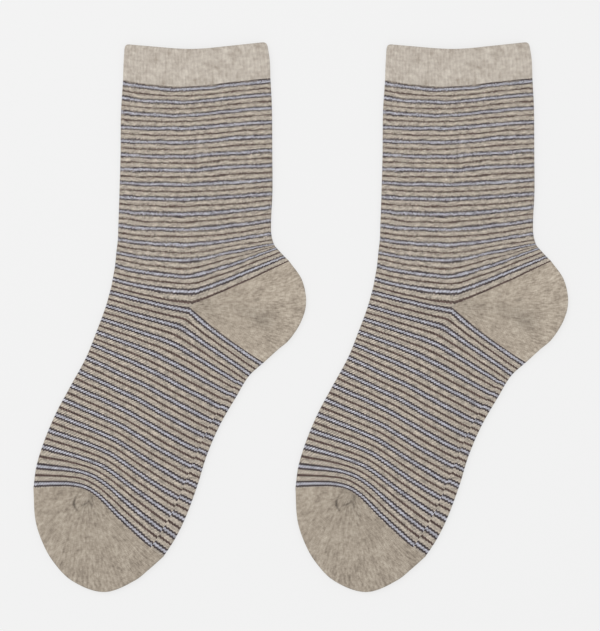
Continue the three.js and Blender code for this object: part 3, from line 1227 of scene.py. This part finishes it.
@dataclass
class Heel:
    """The heel pocket: its courses fan out from the ankle, over the edge and back underneath."""

    rays: int = 96
    courses: int = 91
    seam: float = 0.02

    def piece(self, side: str) -> KnitPiece:
        """Describes the heel of one sock."""
        upper = course_line(LEG, LEG[-1].at, self.seam).back
        lower = course_line(FOOT, FOOT[0].at, -self.seam).back
        lines = []
        for i in range(self.rays + 1):
            share = 1 - i / self.rays
            start = upper.start.lerp(lower.start, share) + upper.way.lerp(lower.way, share) * self.seam
            end = read_point(HEEL_OUTLINE, "edge", share)
            bow = upper.bow + (lower.bow - upper.bow) * share
            ray = Half(start, end, bow)
            lines.append(Line(ray, ray))
        stripes = self.courses / COURSES_PER_STRIPE
        return KnitPiece(
            name=f"{side}_heel_pocket",
            node=f"{side}_heel",
            slot=Slot.HEATHER,
            cloth=PLAIN_CLOTH,
            lines=lines,
            columns=over_the_edge(quarter(52, 6)),
            map_rows=[(1 - i / self.rays) * stripes for i in range(self.rays + 1)],
            closed=False,
            flat=(0.132, 0.062),
            area=0.0053,
        )


@dataclass
class Toe:
    """The toe pocket: its courses fan out from a small pucker on the instep."""

    rays: int = 160
    courses: int = 133
    seam: float = 0.02

    def piece(self, side: str) -> KnitPiece:
        """Describes the toe of one sock."""
        rim = course_line(FOOT, FOOT[-1].at, self.seam)
        inside, bend = rim.front.inside, rim.front.bend
        pole = rim.front.start + inside
        lines = []
        for i in range(self.rays + 1):
            share = i / self.rays
            end = read_point(TOE_OUTLINE, "edge", share)
            bow = rim.front.bow + (rim.back.bow - rim.front.bow) * share
            follow = max(0.0, 1 - 4 * min(share, 1 - share)) ** 2
            ray = Half(pole, end, bow, bend, inside * follow, 0.0, 1.0)
            lines.append(Line(ray, ray))
        stripes = self.courses / COURSES_PER_STRIPE
        return KnitPiece(
            name=f"{side}_toe_pocket",
            node=f"{side}_toe",
            slot=Slot.HEATHER,
            cloth=PLAIN_CLOTH,
            lines=lines,
            columns=over_the_edge(quarter(84, 6, 1.6)),
            map_rows=[i / self.rays * stripes for i in range(self.rays + 1)],
            closed=False,
            flat=(0.12, 0.08),
            area=0.0067,
        )


@dataclass
class Sock:
    """One sock with all its knitted pieces."""

    side: str
    shift: float

    def build(self, finishes: dict[Slot, bpy.types.Material]) -> None:
        for part in (Welt(), LegAndFoot(), Heel(), Toe()):
            made = part.piece(self.side)
            made.declare(made.build(self.shift), finishes[made.slot])


@dataclass
class Studio:
    """A pale floor, soft even light and a camera that looks straight down."""

    view_height: float = 0.3786
    centre: Point = (-0.00022, 0.0009)
    lens: float = 150.0
    sensor: float = 36.0
    floor_colour: Colour = linear(120, 120, 120)
    floor_glow: float = 0.686
    floor_reach: float = 1.5
    room_light: float = 0.75

    def floor(self) -> None:
        """Lays the floor that the socks lie on."""
        mesh = bmesh.new()
        bmesh.ops.create_grid(mesh, x_segments=8, y_segments=8, size=self.floor_reach)
        data = bpy.data.meshes.new("floor")
        mesh.to_mesh(data)
        mesh.free()
        floor = lay_out("floor", data)
        material = bpy.data.materials.new("pale_floor")
        material.use_nodes = True
        shader = material.node_tree.nodes["Principled BSDF"]
        shader.inputs["Base Color"].default_value = (*self.floor_colour, 1)
        shader.inputs["Roughness"].default_value = 0.9
        shader.inputs["Specular IOR Level"].default_value = 0.1
        shader.inputs["Emission Color"].default_value = (1, 1, 1, 1)
        shader.inputs["Emission Strength"].default_value = self.floor_glow
        data.materials.append(material)

    def lamp(self, name: str, place: tuple[float, float, float], size: float, watts: float) -> None:
        """Hangs a soft square lamp that faces the socks.

        Args:
            name: The lamp's name.
            place: Where it hangs, in metres.
            size: The length of its side, in metres.
            watts: Its power.
        """
        data = bpy.data.lights.new(name, "AREA")
        data.shape = "SQUARE"
        data.size = size
        data.energy = watts
        lamp = lay_out(name, data)
        lamp.location = place
        lamp.rotation_euler = (-Vector(place)).to_track_quat("-Z", "Y").to_euler()

    def light(self) -> None:
        """Sets the even light of the room and the soft lamps."""
        world = bpy.data.worlds.new("room")
        world.use_nodes = True
        world.node_tree.nodes["Background"].inputs["Color"].default_value = (1, 1, 1, 1)
        world.node_tree.nodes["Background"].inputs["Strength"].default_value = self.room_light
        bpy.context.scene.world = world
        self.lamp("window", (-0.9, 0.9, 1.4), 1.2, 12.0)
        self.lamp("fill", (1.0, -0.6, 1.5), 1.4, 5.0)

    def camera(self) -> None:
        """Sets the camera straight above the socks."""
        data = bpy.data.cameras.new("camera")
        data.lens = self.lens
        data.sensor_width = self.sensor
        data.clip_end = 20
        camera = lay_out("camera", data)
        camera.location = (*self.centre, self.view_height * self.lens / self.sensor)
        bpy.context.scene.camera = camera

    def build(self) -> None:
        """Sets up the whole studio."""
        self.floor()
        self.light()
        self.camera()
        settings = bpy.context.scene.view_settings
        settings.view_transform = "Standard"
        settings.look = "None"


def main() -> None:
    """Builds both socks and the studio; each piece logs its face count."""
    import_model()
    finishes = {
        Slot.RIBBED: RibbedKnit().make(),
        Slot.STRIPED: StripedKnit().make(),
        Slot.HEATHER: HeatherKnit().make(),
    }
    for sock in (Sock("left", -PAIR_SPACING / 2), Sock("right", PAIR_SPACING / 2)):
        sock.build(finishes)
    Studio().build()


if __name__ == "__main__":
    main()
